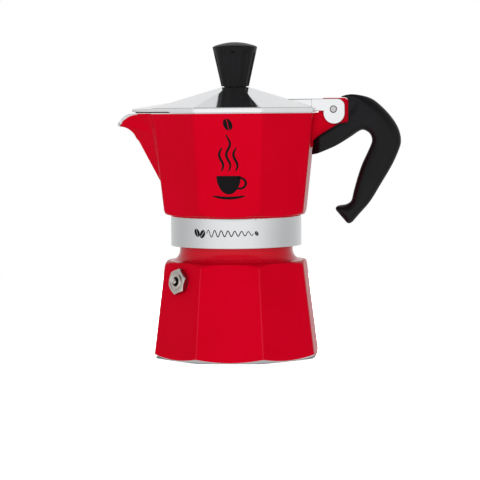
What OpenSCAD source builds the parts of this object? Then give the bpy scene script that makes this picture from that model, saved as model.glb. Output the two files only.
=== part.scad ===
// Three-cup stovetop moka pot: an eight-sided boiler and an eight-sided collector
// joined by a screw thread, with a coffee funnel between them, a hinged lid, a
// moulded handle and a spring-loaded safety valve.
// Millimetres, +Z up. The origin is the centre of the base, the handle is
// towards +X and the spout towards -X.

/* [Boiler] */
// Corner radius of the eight-sided wall, carried down to the base plane
boiler_r_base = 46.6; // [45.5:0.1:48]
// Corner radius of the same wall at the shoulder
boiler_r_shoulder = 39.95; // [39.5:0.05:40.3]
// Height of the rounded shoulder's top
shoulder_z = 51.5; // [50.5:0.5:52.5]
// Radius of the flat round foot
foot_r = 42; // [41:0.1:42.5]
// Slope of the turned edge between the foot and the wall, in degrees
foot_slope = 28; // [24:1:30]
// Radius of the neck just under the band
neck_r = 30.4; // [30.2:0.1:30.8]
// Height of the boiler's rim
boiler_rim_z = 70.5; // [70.3:0.1:70.6]
// Radius of the boiler's mouth
mouth_r = 27.9; // [27.8:0.1:28.2]
// Thickness of the floor of the boiler
boiler_floor = 3.2; // [2.5:0.1:4]

/* [Collector] */
// Outer radius of the round band
band_r = 35.1; // [34.6:0.1:35.4]
// Height of the band's lower edge
band_z = 59.6; // [59.4:0.1:60]
// Height of the band's upper edge
band_top_z = 75.3; // [75:0.1:75.6]
// Height where the eight-sided wall starts
collector_base_z = 79; // [78.5:0.5:79.5]
// Corner radius of the eight-sided wall at its lower end
collector_r_base = 40.4; // [40:0.1:40.8]
// Corner radius of the eight-sided wall at the rim
collector_r_rim = 46.4; // [46:0.1:46.8]
// Height of the collector's rim
rim_z = 130.5; // [130:0.1:130.5]
// Thickness of the collector's wall
collector_wall = 2.6; // [2.2:0.1:3]
// Thickness of the spout's wall
spout_wall = 2.2; // [1.8:0.1:2.4]

/* [Lid] */
// Height of the lid's upright edge
lid_edge = 2.6; // [2.2:0.1:3]
// Height of the lid's flat top, where the knob sits
lid_top_z = 144.3; // [144:0.1:144.6]
// Thickness of the lid's shell
lid_wall = 1.6; // [1.2:0.1:1.8]

/* [Knob] */
// Height of the knob above the lid
knob_height = 24.2; // [20:0.1:28]
// Radius of the knob where it stands on the lid
knob_foot_r = 7.3; // [7:0.1:8]
// Radius of the knob's top edge
knob_top_r = 12; // [11:0.1:13]
// Number of flutes around the knob
knob_flutes = 10; // [8:1:12]

/* [Handle] */
// Width of the handle across the pot
handle_width = 16.4; // [14:0.2:18]
// Thickness of the bracket that the handle holds
bracket_width = 8.2; // [7.6:0.2:8.2]

/* [Safety valve] */
// Height of the valve on the wall
valve_z = 41.6; // [38:0.2:42]
// Width of the valve's hexagon across its flats
valve_flats = 12.4; // [12:0.2:13]

/* [Hidden] */

$fn = 96;
face_turn = 45;
flat_ratio = cos(face_turn / 2);
eps = 0.01;
gap = 0.1;

red = [0.80, 0.02, 0.07];
metal = [0.82, 0.83, 0.84];
steel = [0.70, 0.71, 0.72];
nickel = [0.72, 0.68, 0.64];
black = [0.09, 0.09, 0.10];
rubber = [0.90, 0.90, 0.86];

// Boiler wall, mouth and shoulder
function boiler_a(z) = flat_ratio * (boiler_r_base + (boiler_r_shoulder - boiler_r_base) * z / shoulder_z);
wall_lean = atan((boiler_a(0) - boiler_a(shoulder_z)) / shoulder_z);
shoulder_round = 5;
neck_fillet = 5.5;
shoulder_x = neck_r + neck_fillet;
thread_r = 32;
thread_z = band_z + 1;
rim_chamfer = 0.7;

// Safety valve: heights along its own axis, from the wall outwards
valve_turn = -135;
valve_hex_turn = 49;
stub_r = 5;
stub_depth = 5;
hex_base = 0.5;
hex_face = 3.4;
cap_face = 4;
seat_s = -3.6;
chamber_r = 3.4;
inlet_r = 1.7;
cap_r = 4.1;
cap_hole_r = 2.45;
pin_r = 1.3;
pin_end = 5;
flange_s = seat_s + gap + 1;
flange_r = 3;
flange_t = 0.8;
spring_wire_r = 0.32;
spring_r = 2.2;
spring_turns = 4;

// Funnel, gasket and filter plate between the boiler and the collector
flange_z = boiler_rim_z + gap;
funnel_sheet = 0.7;
funnel_r = mouth_r - 0.5;
funnel_lip_r = 30.5;
basket_floor_z = 50.5;
stem_r = 5;
stem_top_z = 45.5;
stem_end_z = 8;
gasket_z = flange_z + funnel_sheet + gap;
gasket_t = 2.8;
gasket_hole_r = 26;
gasket_r = 32.4;
plate_t = 0.5;
plate_r = 28;

// Collector: floor, inner wall and band
function collector_a(z) = flat_ratio * (collector_r_base
    + (collector_r_rim - collector_r_base) * (z - collector_base_z) / (rim_z - collector_base_z));
recess_z = gasket_z + gasket_t + plate_t + 0.2;
floor_z = recess_z + 3.5;
recess_r = 32.7;
column_hole_r = 6;
lower_round = 5;
lower_round_x = 35.9;
lower_round_z = 81;

// Spout: a wedge whose edge, the keel, leans outwards, and a curled beak
keel_lean = 27.9;
keel_foot = [-38.6, 88.8];
wedge_half_angle = 47.65;
wedge_depth = 26.5;
wedge_length = 70;
beak_start = [-54.35, 118.5];
beak_curve_r = 9.5;
beak_tip = [-64.4, 123.6];
lip_centre = [-52, 117.6];
lip_r = 13.8;
beak_floor = 1.8;

// Hinge: pin, bracket on the collector and ears on the lid
hinge_x = 53.1;
hinge_z = 132.2;
hinge_pin_r = 1.5;
hinge_clear = 0.06;
bracket_top_z = hinge_z + 6;
bracket_sweep = 8.1;
bridge_gap = 9;
ear_inner = bracket_width / 2 + 0.3;
ear_outer = 7;
ear_top = 5.6;
ear_lobe = [0.3, -2.1];
ear_lobe_r = 5.7;
ear_round = 4;
ear_underside = -0.9;

// Lid: the cover over the spout follows the wedge
lid_z = rim_z + 0.2;
lid_a = 42.9;
lid_edge_z = lid_z + lid_edge;
lid_flat_a = 7.4;
cover_end_r = 11.4;
cover_end_x = -44.6;
cover_root = [-32, 28.1];
ridge_x = -30;
ridge_z = 137.1;
ridge_fall = 8.8;
roof_fall = 7.1;

// Handle, with a nose over the bracket, and its screw
handle_front_x = 60.3;
nose_z = bracket_top_z + 0.3;
nose_half = bracket_width / 2 + 0.1;
screw_x = 50.5;
screw_r = 1.75;
screw_head_r = 3;
screw_head_z = 112.8;
screw_top_z = 123;

// Knob and its screw
knob_screw_r = 2;
knob_dome = 2.3;
knob_round = 0.6;
knob_edge_z = lid_top_z + knob_height - knob_dome - knob_round;
knob_slope = atan((knob_top_r - knob_foot_r) / (knob_edge_z - lid_top_z));
foot_recess = 0.4;
flute_r = 3;
flute_depth = 0.8;

// Points of a circular arc around c, from angle a0 to angle a1 in n steps
function arc(c, r, a0, a1, n) = [
    for (i = [0 : n]) let (a = a0 + (a1 - a0) * i / n) c + r * [cos(a), sin(a)]
];

// One point of a smooth curve that passes through p1 and p2
function blend(p0, p1, p2, p3, t) = 0.5 * ((2 * p1) + (p2 - p0) * t
    + (2 * p0 - 5 * p1 + 4 * p2 - p3) * t * t + (3 * p1 - p0 - 3 * p2 + p3) * t * t * t);

// Smooth open curve through all the given points, with n steps between two points
function smooth(p, n) = let (last = len(p) - 1) concat(
    [for (i = [0 : last - 1], k = [0 : n - 1])
        blend(p[max(i - 1, 0)], p[i], p[i + 1], p[min(i + 2, last)], k / n)],
    [p[last]]
);

// Solid with eight equal faces, from an outline of half-widths and heights
module eight_sided(outline) {
    last = len(outline) - 1;
    mirrored = [for (i = [last : -1 : 0]) [-outline[i][0], outline[i][1]]];
    intersection_for (i = [0 : 3])
        rotate([90, 0, face_turn * i])
            linear_extrude(height = 150, center = true)
                polygon(concat(outline, mirrored));
}

// Plate of the given width in the upright plane through the handle and the spout
module upright_plate(width, outline) {
    rotate([90, 0, 0])
        linear_extrude(height = width, center = true)
            polygon(outline);
}

// Puts its children on the valve's axis, with +Z out of the wall
module at_valve() {
    rotate(valve_turn)
        translate([boiler_a(valve_z), 0, valve_z])
            rotate([0, 90 - wall_lean, 0])
                children();
}

// Ring between two radii and two heights
module ring(r_out, r_in, z0, z1) {
    translate([0, 0, z0])
        difference() {
            cylinder(r = r_out, h = z1 - z0);
            translate([0, 0, -1]) cylinder(r = r_in, h = z1 - z0 + 2);
        }
}

// Sheet disc with rings of small six-sided perforations
module perforated_disc(r, z, t, rings, pitch, hole_r) {
    translate([0, 0, z])
        difference() {
            cylinder(r = r, h = t);
            for (k = [1 : rings], i = [0 : 6 * k - 1])
                rotate(60 * i / k)
                    translate([k * pitch, 0, -1])
                        cylinder(r = hole_r, h = t + 2, $fn = 6);
        }
}

// Round wire along a helix of the given radius, between two heights
module coil(wire, r, z0, z1, turns) {
    sides = 8;
    steps = 12 * turns;
    ring_points = [for (i = [0 : steps], k = [0 : sides - 1])
        let (
            a = 360 * turns * i / steps,
            z = z0 + (z1 - z0) * i / steps,
            b = 360 * k / sides,
            d = r + wire * cos(b)
        )
        [d * cos(a), d * sin(a), z + wire * sin(b)]];
    walls = [for (i = [0 : steps - 1], k = [0 : sides - 1])
        let (n = (k + 1) % sides)
        [i * sides + k, (i + 1) * sides + k, (i + 1) * sides + n, i * sides + n]];
    first_end = [for (k = [0 : sides - 1]) k];
    last_end = [for (k = [sides - 1 : -1 : 0]) steps * sides + k];
    polyhedron(points = ring_points, faces = concat(walls, [first_end, last_end]), convexity = 10);
}

module boiler() {
    foot_edge = 7;
    outer = concat(
        [[0, 0], [foot_r, 0], [foot_r + foot_edge, foot_edge * tan(foot_slope)]],
        [[foot_r + foot_edge, shoulder_z - shoulder_round]],
        arc([shoulder_x, shoulder_z - shoulder_round], shoulder_round, 0, 90, 6),
        arc([shoulder_x, shoulder_z + neck_fillet], neck_fillet, 270, 180, 6),
        [[neck_r, thread_z - 1], [thread_r, thread_z], [thread_r, boiler_rim_z - 1.5]],
        [[thread_r - rim_chamfer, boiler_rim_z], [0, boiler_rim_z]]
    );
    cavity = [
        [0, boiler_floor], [boiler_a(0) - 6.6, boiler_floor], [boiler_a(5) - 4, boiler_floor + 2.4],
        [boiler_a(45) - 3.2, 44], [mouth_r, 58.5], [mouth_r, boiler_rim_z + 1], [0, boiler_rim_z + 1]
    ];
    color(red)
        difference() {
            intersection() {
                eight_sided([[boiler_a(0), 0], [boiler_a(boiler_rim_z), boiler_rim_z]]);
                rotate_extrude() polygon(outer);
            }
            rotate_extrude() polygon(cavity);
            at_valve() translate([0, 0, -10]) cylinder(r = stub_r, h = 20);
        }
}

module valve_body() {
    hex_r = valve_flats / 2 / cos(30);
    face_r = valve_flats / 2 - 0.2;
    hex_t = hex_face - hex_base;
    color(nickel)
        at_valve()
            difference() {
                union() {
                    translate([0, 0, -stub_depth]) cylinder(r = stub_r, h = stub_depth + hex_base + eps);
                    intersection() {
                        rotate(valve_hex_turn)
                            translate([0, 0, hex_base])
                                cylinder(r = hex_r, h = hex_t, $fn = 6);
                        translate([0, 0, hex_base])
                            cylinder(r1 = face_r + 1.7 * hex_t, r2 = face_r, h = hex_t);
                    }
                }
                translate([0, 0, -stub_depth - 1]) cylinder(r = inlet_r, h = 10);
                translate([0, 0, seat_s]) cylinder(r = chamber_r, h = 10);
                translate([0, 0, hex_face - 0.8]) cylinder(r = cap_r, h = 10);
            }
}

module valve_gasket() {
    color(rubber) at_valve() ring(6, stub_r + 0.02, 0, hex_base);
}

module valve_cap() {
    color(nickel) at_valve() ring(cap_r - 0.02, cap_hole_r, hex_face - 0.8, cap_face);
}

module valve_piston() {
    nose_r = inlet_r - 0.4;
    color(steel)
        at_valve()
            rotate_extrude()
                polygon([
                    [0, seat_s - 0.9], [nose_r, seat_s - 0.9], [nose_r, flange_s], [flange_r, flange_s],
                    [flange_r, flange_s + flange_t], [pin_r, flange_s + flange_t],
                    [pin_r, pin_end - 0.4], [pin_r - 0.4, pin_end], [0, pin_end]
                ]);
}

module valve_seal() {
    color(rubber) at_valve() ring(flange_r, inlet_r - 0.38, seat_s + gap, flange_s);
}

module valve_spring() {
    first = flange_s + flange_t + spring_wire_r + 0.05;
    last = hex_face - 0.8 - spring_wire_r - 0.05;
    color(steel) at_valve() coil(spring_wire_r, spring_r, first, last, spring_turns);
}

module funnel() {
    inner_stem_r = stem_r - funnel_sheet;
    inner_r = funnel_r - funnel_sheet;
    color(metal)
        rotate_extrude()
            polygon([
                [inner_stem_r, stem_end_z], [stem_r, stem_end_z], [stem_r, stem_top_z],
                [funnel_r, basket_floor_z], [funnel_r, flange_z], [funnel_lip_r, flange_z],
                [funnel_lip_r, flange_z + funnel_sheet], [inner_r, flange_z + funnel_sheet],
                [inner_r, basket_floor_z + funnel_sheet], [inner_stem_r, stem_top_z + funnel_sheet]
            ]);
}

module funnel_screen() {
    color(metal)
        perforated_disc(funnel_r - funnel_sheet - 0.3, basket_floor_z + funnel_sheet + gap, 0.5, 4, 5.4, 0.9);
}

module gasket() {
    color(rubber) ring(gasket_r, gasket_hole_r, gasket_z, gasket_z + gasket_t);
}

module filter_plate() {
    color(metal) perforated_disc(plate_r, gasket_z + gasket_t, plate_t, 5, 4.6, 0.8);
}

// Wedge of the spout, moved inwards by the given amount
module spout_wedge(inset, depth) {
    half = depth * tan(wedge_half_angle);
    translate([keel_foot[0], 0, keel_foot[1]])
        rotate([0, -keel_lean, 0])
            translate([inset, 0, -10])
                linear_extrude(height = wedge_length)
                    polygon([[0, 0], [depth, -half], [depth, half]]);
}

// Side outline of the beak up to top_z, raised by the given amount above its underside
function beak_side(rise, top_z) =
    let (c = beak_start - beak_curve_r * [cos(keel_lean), sin(keel_lean)])
    concat(
        [[-44, 98.9 + rise]],
        arc(c, beak_curve_r + rise, keel_lean, 90, 6),
        [[beak_tip[0] - 3, beak_tip[1] + rise], [beak_tip[0] - 3, top_z], [-44, top_z]]
    );

// Curled beak; inset makes the same shape smaller, for its channel
module beak(inset, rise, top_z) {
    tip_x = -61.4;
    tip_r = 3;
    root = [-53, 6.9];
    intersection() {
        upright_plate(40, beak_side(rise, top_z));
        translate([0, 0, 90])
            linear_extrude(height = 50)
                polygon(concat(
                    [[-44, inset - 13], [root[0], inset - root[1]]],
                    arc([tip_x, 0], tip_r - inset, 250, 110, 8),
                    [[root[0], root[1] - inset], [-44, 13 - inset]]
                ));
        translate([-53.6, 0, 117])
            rotate([0, -55, 0])
                translate([inset * 1.6, 0, -25])
                    linear_extrude(height = 60)
                        polygon([[0, 0], [40, -52], [40, 52]]);
    }
}

module spout_body() {
    intersection() {
        spout_wedge(0, wedge_depth);
        translate([-80, -40, 84]) cube([60, 80, rim_z - 84]);
    }
    beak(0, 0, rim_z);
}

// Everything above the lip's curve, in front of the lid
module lip_cut() {
    upright_plate(40, concat(
        [[lip_centre[0] - 5, 145], [-80, 145], [-80, 118]],
        arc(lip_centre, lip_r, 175, 111.2, 7)
    ));
}

// Bracket for the hinge pin and the handle
module bracket() {
    sweep_from = 180 + asin((hinge_z - rim_z) / bracket_sweep);
    sweep_to = 180 - asin((bracket_top_z - hinge_z) / bracket_sweep);
    outline = concat(
        [[38, 113], [38, rim_z]],
        arc([hinge_x, hinge_z], bracket_sweep, sweep_from, sweep_to, 5),
        [[59, bracket_top_z], [67, 133], [67, 128], [62, 122.3], [44, 113]]
    );
    difference() {
        upright_plate(bracket_width, outline);
        eight_sided([[collector_a(90) - 1, 90], [collector_a(rim_z) - 1, rim_z + 1]]);
        translate([hinge_x, 0, hinge_z])
            rotate([90, 0, 0])
                cylinder(r = hinge_pin_r, h = 20, center = true);
        translate([screw_x, 0, 100]) cylinder(r = screw_r, h = screw_top_z + 0.5 - 100);
    }
}

module collector() {
    outer = concat(
        [[0, band_z], [band_r - 0.3, band_z], [band_r, band_z + 0.3], [band_r, band_top_z]],
        [[lower_round_x, band_top_z + 0.7]],
        arc([lower_round_x, lower_round_z], lower_round, -90, 0, 5),
        [[55, lower_round_z], [55, rim_z + 1], [0, rim_z + 1]]
    );
    upper = [[60, band_z - 1], [60, lower_round_z - 6], [collector_a(lower_round_z - 6), lower_round_z - 6],
        [collector_a(rim_z), rim_z]];
    socket = [[0, band_z - 1], [recess_r, band_z - 1], [recess_r, recess_z], [0, recess_z]];
    inner = collector_wall;
    chamber_round = 5;
    round_x = collector_a(floor_z) - inner - chamber_round + 0.6;
    chamber = concat(
        [[0, floor_z]],
        arc([round_x, floor_z + chamber_round], chamber_round, -90, 0, 5),
        [[60, floor_z + chamber_round], [60, rim_z + 5], [0, rim_z + 5]]
    );
    color(red)
        difference() {
            union() {
                intersection() {
                    eight_sided(upper);
                    rotate_extrude() polygon(outer);
                }
                spout_body();
                bracket();
            }
            rotate_extrude() polygon(socket);
            intersection() {
                union() {
                    eight_sided([[collector_a(floor_z) - inner, floor_z - 1],
                        [collector_a(rim_z + 2) - inner, rim_z + 2]]);
                    spout_wedge(spout_wall / sin(wedge_half_angle), wedge_depth - 4.5);
                }
                rotate_extrude() polygon(chamber);
                translate([-60, -60, 0]) cube([110, 120, rim_z + 2]);
            }
            beak(1.6, beak_floor, rim_z + 1);
            lip_cut();
            translate([0, 0, recess_z - 1]) cylinder(r = column_hole_r, h = 10);
        }
}

module column() {
    top_z = 120;
    bore_r = 3.2;
    outline = concat(
        [[bore_r, recess_z + 0.2], [column_hole_r, recess_z + 0.2], [column_hole_r, floor_z]],
        [[9, floor_z], [8.6, floor_z + 1.5], [7, floor_z + 5], [5.6, top_z - 6]],
        arc([1.6, top_z - 4], 4, 0, 90, 4),
        [[0, top_z], [0, top_z - 2], [bore_r, top_z - 3.5]]
    );
    color(metal)
        difference() {
            rotate_extrude() polygon(outline);
            for (side = [0, 180])
                rotate(side)
                    translate([0, -1.5, top_z - 9])
                        cube([12, 3, 5]);
        }
}

module handle() {
    // Outer edge from the top of the front face round to the foot
    outer_edge = smooth([
        [55.8, 138.7], [62.7, 140.1], [72, 138.3], [78.1, 134], [84, 127.6], [87.7, 121.2], [88.9, 115],
        [87.7, 110.2], [84, 102], [77.6, 91.3], [72.3, 82.7], [66.7, 76.3], [62.9, 71.9]
    ], 3);
    // Rounded end of the foot
    foot = arc([60.9, 72.9], 2, -30, -115, 3);
    toe = arc([55.1, 79], 1.4, 205, 95, 4);
    // Inner edge of the grip and the underside of the arm
    inner_edge = smooth([
        [59.2, 81], [62.2, 83], [63.5, 88], [65.6, 95.5], [68, 102.5], [70.7, 108.3], [73.3, 114.2],
        [73.3, 117], [72, 119.4], [68.9, 121.1], [66.2, 120.2], [61.6, 117.1], [54.7, 112.9], [49.9, 110.7],
        [44.5, 108.5]
    ], 3);
    // End of the arm at the wall, then its upper edge and the front face
    arm_end = [
        [41.2, 107.8], [41.9, 115.8], [45.8, 118.6], [handle_front_x, 127.2], [handle_front_x, nose_z],
        [57.5, nose_z]
    ];
    slot = [
        [40, 112.6], [44.1, 112.8], [62.2, 122.1], [67.2, 127.9], [67.2, 133.1], [59.1, bracket_top_z + 0.2],
        [55, bracket_top_z + 0.2], [55, 125], [40, 125]
    ];
    end_bevel = 4.2;
    color(black)
        difference() {
            upright_plate(handle_width, concat(outer_edge, foot, toe, inner_edge, arm_end));
            upright_plate(bracket_width + 0.2, slot);
            for (side = [-1, 1]) {
                translate([41.2, side * handle_width / 2, 113])
                    rotate(45 * side)
                        cube([end_bevel * sqrt(2), end_bevel * sqrt(2), 30], center = true);
                // Beside the nose, room for the lid's ears to swing
                translate([handle_front_x - 10, side * (nose_half + 5), nose_z + 2])
                    cube([20, 10, 10], center = true);
            }
            translate([screw_x, 0, 100]) cylinder(r = screw_head_r + 0.15, h = screw_head_z + 2.2 - 100);
            translate([screw_x, 0, 100]) cylinder(r = screw_r + 0.15, h = 30);
        }
}

module handle_screw() {
    shank_z = screw_head_z + 2;
    color(steel)
        translate([screw_x, 0, 0])
            difference() {
                union() {
                    translate([0, 0, screw_head_z]) cylinder(r = screw_head_r, h = 2.1);
                    translate([0, 0, shank_z]) cylinder(r = screw_r - 0.02, h = screw_top_z - shank_z);
                }
                translate([-4, -0.5, screw_head_z - 1]) cube([8, 1, 2]);
            }
}

module hinge_pin() {
    color(steel)
        translate([hinge_x, 0, hinge_z])
            rotate([90, 0, 0])
                cylinder(r = hinge_pin_r, h = 2 * ear_outer - 0.1, center = true);
}

// Sloping roof over the spout: everything under two planes that meet in a ridge
module cover_roof(drop) {
    size = 90;
    intersection_for (side = [-1, 1])
        translate([ridge_x, 0, ridge_z - drop])
            rotate([side * roof_fall, -ridge_fall, 0])
                translate([-size / 2, -size / 2, -size])
                    cube(size);
}

// Lid without its hinge; inset makes the same shape smaller, for its inside
module lid_dome(inset, drop) {
    floor_z = lid_z - (drop > 0 ? 1 : 0);
    eight_sided([
        [lid_a - inset, floor_z], [lid_a - inset, lid_edge_z - drop * 0.9], [lid_flat_a, lid_top_z - drop]
    ]);
    intersection() {
        translate([0, 0, floor_z])
            linear_extrude(height = 12)
                hull() {
                    translate([cover_end_x, 0]) circle(r = cover_end_r - inset);
                    translate([cover_root[0] + inset, -cover_root[1] + inset]) circle(r = 0.1, $fn = 8);
                    translate([cover_root[0] + inset, cover_root[1] - inset]) circle(r = 0.1, $fn = 8);
                }
        cover_roof(drop);
    }
}

// Outline of one hinge ear, around the pin
function ear_outline() =
    let (p = [hinge_x, hinge_z], c = p + ear_lobe)
    concat(
        [[lid_a - 1.5, hinge_z + ear_underside], [c[0] - 5.58, hinge_z + ear_underside]],
        arc(c, ear_lobe_r, 168, 360, 14),
        arc([c[0] + ear_lobe_r - ear_round, hinge_z + ear_top - ear_round], ear_round, 0, 90, 5),
        [[lid_a - 1.5, hinge_z + ear_top]]
    );

module lid() {
    bridge_x = hinge_x - bridge_gap;
    block_x = 26;
    block_half = 6.2;
    block_skin = 0.6;
    color(metal)
        difference() {
            union() {
                difference() {
                    lid_dome(0, 0);
                    lid_dome(2, lid_wall);
                }
                intersection() {
                    translate([block_x, -block_half, lid_z])
                        cube([bridge_x - block_x, 2 * block_half, hinge_z + ear_top - lid_z]);
                    union() {
                        translate([0, 0, block_skin]) above_dome();
                        translate([lid_a - 2, -ear_outer, hinge_z + ear_underside])
                            cube([5, 2 * ear_outer, 10]);
                    }
                }
                difference() {
                    upright_plate(2 * ear_outer, ear_outline());
                    translate([bridge_x, -ear_inner, 110]) cube([30, 2 * ear_inner, 40]);
                }
            }
            translate([hinge_x, 0, hinge_z])
                rotate([90, 0, 0])
                    cylinder(r = hinge_pin_r + hinge_clear, h = 20, center = true);
            translate([0, 0, lid_top_z - 5]) cylinder(r = knob_screw_r + 0.2, h = 10);
        }
}

// Space above the inside of the lid's dome, where the hinge block stands
module above_dome() {
    difference() {
        translate([20, -10, lid_z]) cube([30, 20, 12]);
        eight_sided([
            [lid_a - 2, lid_z - 1], [lid_a - 2, lid_edge_z - lid_wall * 0.9],
            [lid_flat_a, lid_top_z - lid_wall]
        ]);
    }
}

module knob() {
    top = lid_top_z + knob_height;
    seat_r = knob_foot_r - 1.3;
    dome = [for (share = [0.9 : -0.15 : 0.15]) [knob_top_r * share, top - knob_dome * share * share]];
    outline = concat(
        [[0, lid_top_z], [seat_r, lid_top_z], [seat_r, lid_top_z + foot_recess]],
        [[knob_foot_r, lid_top_z + foot_recess]],
        arc([knob_top_r - knob_round, knob_edge_z], knob_round, 0, 66, 3),
        dome,
        [[0, top]]
    );
    color(black)
        difference() {
            rotate_extrude() polygon(outline);
            for (i = [0 : knob_flutes - 1])
                rotate(360 * (i + 0.5) / knob_flutes)
                    translate([knob_foot_r + flute_r - flute_depth, 0, lid_top_z])
                        rotate([0, knob_slope, 0])
                            translate([0, 0, -2])
                                cylinder(r = flute_r, h = 21.5);
            translate([0, 0, lid_top_z - 1]) cylinder(r = knob_screw_r + 0.02, h = 12);
        }
}

module knob_washer() {
    color(steel) ring(5, knob_screw_r + 0.1, lid_top_z - lid_wall - 0.8, lid_top_z - lid_wall);
}

module knob_screw() {
    head_top = lid_top_z - lid_wall - 0.8;
    color(steel)
        difference() {
            union() {
                translate([0, 0, head_top - 2.2]) cylinder(r = 3.8, h = 2.2);
                translate([0, 0, head_top - eps]) cylinder(r = knob_screw_r, h = 11);
            }
            translate([-5, -0.5, head_top - 3.4]) cube([10, 1, 2.2]);
        }
}

boiler();
valve_body();
valve_gasket();
valve_cap();
valve_piston();
valve_seal();
valve_spring();
funnel();
funnel_screen();
gasket();
filter_plate();
collector();
column();
handle();
handle_screw();
hinge_pin();
lid();
knob();
knob_screw();
knob_washer();
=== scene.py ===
# Looks of the moka pot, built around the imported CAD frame.
# Metres, +Z up, the handle towards +X and the spout towards -X.
import math

import bmesh
import bpy
import numpy as np
from mathutils import Matrix, Vector
from mathutils.kdtree import KDTree


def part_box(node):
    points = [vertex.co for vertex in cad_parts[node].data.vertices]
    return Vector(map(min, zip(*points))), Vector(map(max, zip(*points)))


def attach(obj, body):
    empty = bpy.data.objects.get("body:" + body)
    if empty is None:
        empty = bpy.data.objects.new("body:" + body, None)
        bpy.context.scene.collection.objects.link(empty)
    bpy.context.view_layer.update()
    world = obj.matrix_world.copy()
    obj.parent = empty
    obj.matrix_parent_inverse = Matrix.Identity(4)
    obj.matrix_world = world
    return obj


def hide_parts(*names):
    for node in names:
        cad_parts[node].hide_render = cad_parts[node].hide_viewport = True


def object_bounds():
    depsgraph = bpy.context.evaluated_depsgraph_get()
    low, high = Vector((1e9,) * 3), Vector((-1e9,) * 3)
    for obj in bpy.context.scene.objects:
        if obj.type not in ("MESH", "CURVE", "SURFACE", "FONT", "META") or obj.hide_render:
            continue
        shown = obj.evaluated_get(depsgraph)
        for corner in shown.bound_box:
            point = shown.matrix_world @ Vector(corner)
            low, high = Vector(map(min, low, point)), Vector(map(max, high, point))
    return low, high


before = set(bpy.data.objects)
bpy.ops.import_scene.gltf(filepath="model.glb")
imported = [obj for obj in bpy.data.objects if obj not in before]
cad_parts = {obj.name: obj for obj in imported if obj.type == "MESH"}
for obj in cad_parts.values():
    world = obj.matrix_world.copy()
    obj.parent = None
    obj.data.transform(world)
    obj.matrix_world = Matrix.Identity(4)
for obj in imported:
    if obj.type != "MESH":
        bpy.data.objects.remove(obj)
cad_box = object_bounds()

MM = 0.001
FACES = 8
FLAT = math.cos(math.pi / FACES)

# Heights and places taken from the frame
boiler_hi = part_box("boiler")[1]
collector_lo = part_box("collector")[0]
knob_lo, knob_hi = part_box("knob")
pin_lo, pin_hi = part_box("hinge_pin")
handle_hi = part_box("handle")[1]
HINGE_X = (pin_lo.x + pin_hi.x) / 2
HINGE_Z = (pin_lo.z + pin_hi.z) / 2
BOILER_TOP = boiler_hi.z
BAND_Z = collector_lo.z
RIM_Z = HINGE_Z - 1.7 * MM
LID_Z = RIM_Z + 0.2 * MM
KNOB_Z, KNOB_TOP = knob_lo.z, knob_hi.z

# Boiler
BOILER_R_BASE = 46.6 * MM
BOILER_R_SHOULDER = 39.95 * MM
SHOULDER_Z = 51.5 * MM
SHOULDER_ROUND = 5 * MM
FOOT_R = 42 * MM
FOOT_SLOPE = math.radians(28)
NECK_R = 30.4 * MM
NECK_FILLET = 5.5 * MM
THREAD_ROOT, THREAD_CREST = 31.3 * MM, 32.0 * MM
THREAD_PITCH = 3.5 * MM
MOUTH_R = 27.9 * MM
BOILER_FLOOR = 3.2 * MM

# Safety valve, on the boiler's front-left face
VALVE_Z = 41.6 * MM
VALVE_TURN = math.radians(-135)
VALVE_HEX_TURN = math.radians(49)
HEX_FACE, CAP_RISE = 3.4, 0.6

# Collector
BAND_R = 35.1 * MM
BAND_TOP_Z = 75.3 * MM
WALL_Z = 79 * MM
COLLECTOR_R_BASE = 40.4 * MM
COLLECTOR_R_RIM = 46.4 * MM
COLLECTOR_WALL = 2.6 * MM
COLLECTOR_CORNER = 1.3 * MM
FLOOR_Z = 78.4 * MM
RECESS_Z = 74.9 * MM
RECESS_R = 32.7 * MM
LOWER_ROUND_X = 35.9 * MM
LOWER_ROUND_Z = 81 * MM
LOWER_ROUND = 5 * MM

# Spout and beak
KEEL_X, KEEL_Z = 38.6 * MM, 88.8 * MM
KEEL_LEAN = math.radians(27.9)
WEDGE_SPREAD = math.cos(KEEL_LEAN) * math.tan(math.radians(47.65))
BEAK_LEAN = math.radians(55)
BEAK_SPREAD = 1.3 * math.cos(BEAK_LEAN)
BEAK_X, BEAK_Z = 53.6 * MM, 117 * MM
BEAK_CURVE = (62.75 * MM, 114.05 * MM, 9.5 * MM)
BEAK_TIP_X, BEAK_TIP_R = 61.4 * MM, 3 * MM
LIP = (52 * MM, 117.6 * MM, 13.8 * MM)
LIP_BARE, LIP_BARE_Z = 1.5 * MM, 119 * MM
WEDGE_BLEND, BEAK_BLEND = 2.5 * MM, 1.4 * MM

# Flat cheek on the handle's flank, clockwise, and how deep it lies
CHEEK = [(x * MM, z * MM) for x, z in ((55, 137.8), (64.6, 137.6), (66.8, 136), (65, 131.8), (60, 126.8),
                                       (55, 124))]
CHEEK_DEPTH = 1.3 * MM
# Where the handle stops beside its nose, to leave room for the open lid's ears
NOSE_HALF, NOSE_Z, NOSE_SIDE_X = 4 * MM, 125 * MM, 61 * MM

# Lid
LID_A = 42.9 * MM
LID_EDGE = 2.6 * MM
LID_FLAT_A = 7.4 * MM
LID_WALL = 1.6 * MM
COVER_R, COVER_X = 11.4 * MM, 44.6 * MM
COVER_ROOT_X, COVER_ROOT_Y = 32 * MM, 28.1 * MM
RIDGE_X, RIDGE_Z = 30 * MM, 137.1 * MM
# The spout cover's edge stands higher than the rest, within this turn of the spout
COVER_LIFT, COVER_TURN, COVER_STEP = 0.6 * MM, math.radians(42.5), math.radians(2)
RIDGE_FALL, ROOF_FALL = math.tan(math.radians(8.8)), math.tan(math.radians(7.1))


# ---------------------------------------------------------------- materials

def new_material(name):
    material = bpy.data.materials.new(name)
    material.use_nodes = True
    return material, material.node_tree.nodes, material.node_tree.links


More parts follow.
